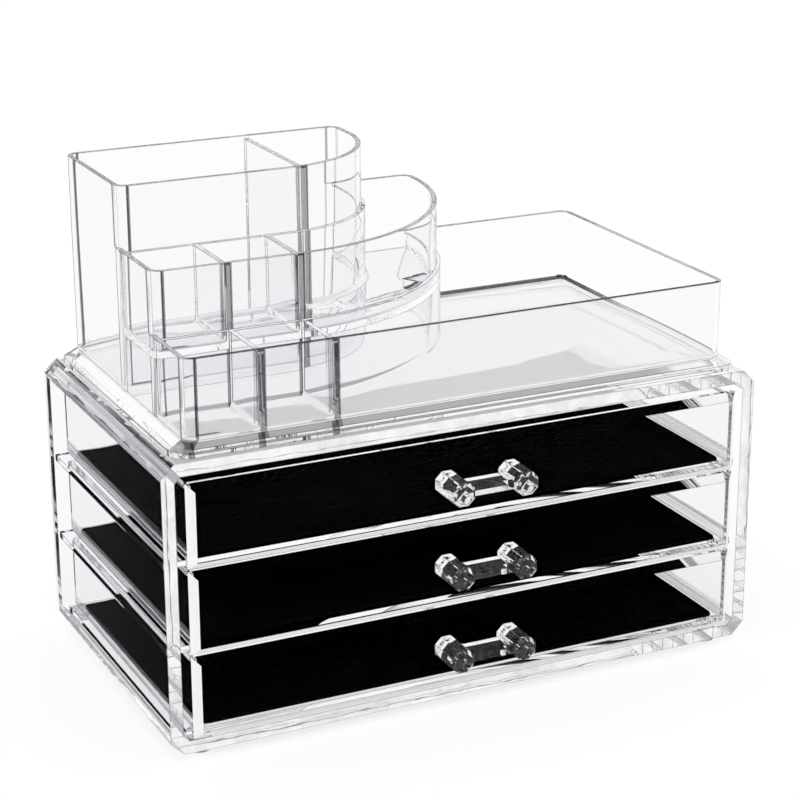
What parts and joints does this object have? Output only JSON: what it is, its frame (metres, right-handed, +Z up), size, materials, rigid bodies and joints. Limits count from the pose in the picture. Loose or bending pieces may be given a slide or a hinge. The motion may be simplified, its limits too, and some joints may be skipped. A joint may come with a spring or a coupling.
{
  "type": "acrylic makeup organizer with drawers",
  "caption": "Clear acrylic vanity chest with stacked pull-out drawers on runners and a stepped cosmetics tray resting on top.",
  "frame": {"origin": "middle of the bounding box, on the surface that the feet stand on", "axes": "+X to the right seen from the front, -Y to the front where the handles are, +Z up"},
  "size_m": [0.24, 0.15, 0.1935],
  "materials": {
    "clear_acrylic": "clear polished acrylic",
    "crystal": "clear faceted acrylic",
    "foot": "clear soft bumper",
    "mesh_pad": "black open mesh liner"
  },
  "bodies": {
    "chest": {"case_sleeve": "clear_acrylic", "back_panel": "clear_acrylic", "runner_left_1": "clear_acrylic", "runner_left_2": "clear_acrylic", "runner_left_3": "clear_acrylic", "runner_right_1": "clear_acrylic", "runner_right_2": "clear_acrylic", "runner_right_3": "clear_acrylic", "foot_front_left": "foot", "foot_front_right": "foot", "foot_back_left": "foot", "foot_back_right": "foot"},
    "upper_organizer": {"upper_organizer": "clear_acrylic"},
    "drawer_bottom": {"drawer_bottom": "clear_acrylic", "pad_bottom": "mesh_pad", "handle_bottom": "crystal"},
    "drawer_middle": {"drawer_middle": "clear_acrylic", "pad_middle": "mesh_pad", "handle_middle": "crystal"},
    "drawer_top": {"drawer_top": "clear_acrylic", "pad_top": "mesh_pad", "handle_top": "crystal"}
  },
  "joints": [
    {"name": "drawer_bottom_slide", "type": "slide", "parent": "chest", "child": "drawer_bottom", "axis": [0, -1, 0], "range_m": [0, 0.11]},
    {"name": "drawer_middle_slide", "type": "slide", "parent": "chest", "child": "drawer_middle", "axis": [0, -1, 0], "range_m": [0, 0.11]},
    {"name": "drawer_top_slide", "type": "slide", "parent": "chest", "child": "drawer_top", "axis": [0, -1, 0], "range_m": [0, 0.11]},
    {"name": "upper_organizer_lift", "type": "slide", "parent": "chest", "child": "upper_organizer", "axis": [0, 0, 1], "range_m": [0, 0.05]}
  ]
}
